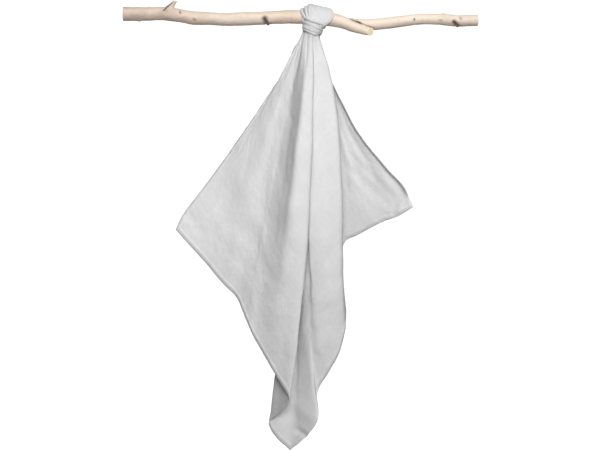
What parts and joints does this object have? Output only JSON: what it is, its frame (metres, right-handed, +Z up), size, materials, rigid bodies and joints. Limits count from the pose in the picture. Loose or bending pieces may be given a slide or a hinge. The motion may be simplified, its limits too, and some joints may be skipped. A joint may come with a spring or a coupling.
{
  "type": "muslin cloth knotted over a branch",
  "caption": "Square muslin cloth knotted by one corner over a bare branch, hanging open with its side corners spread and its opposite corner as a tip below.",
  "frame": {"origin": "centre of the branch's left cut face", "axes": "+X along the branch to the right, +Y away from the viewer who faces the cloth, +Z up; the cloth hangs down along -Z"},
  "size_m": [0.71, 0.1531, 0.9093],
  "materials": {
    "muslin": "matt plain-woven cotton muslin, white, slightly mottled",
    "bark": "smooth pale bark with a few dark marks, matt"
  },
  "bodies": {
    "root": {"muslin_cloth": "muslin", "branch": "bark"}
  },
  "joints": []
}
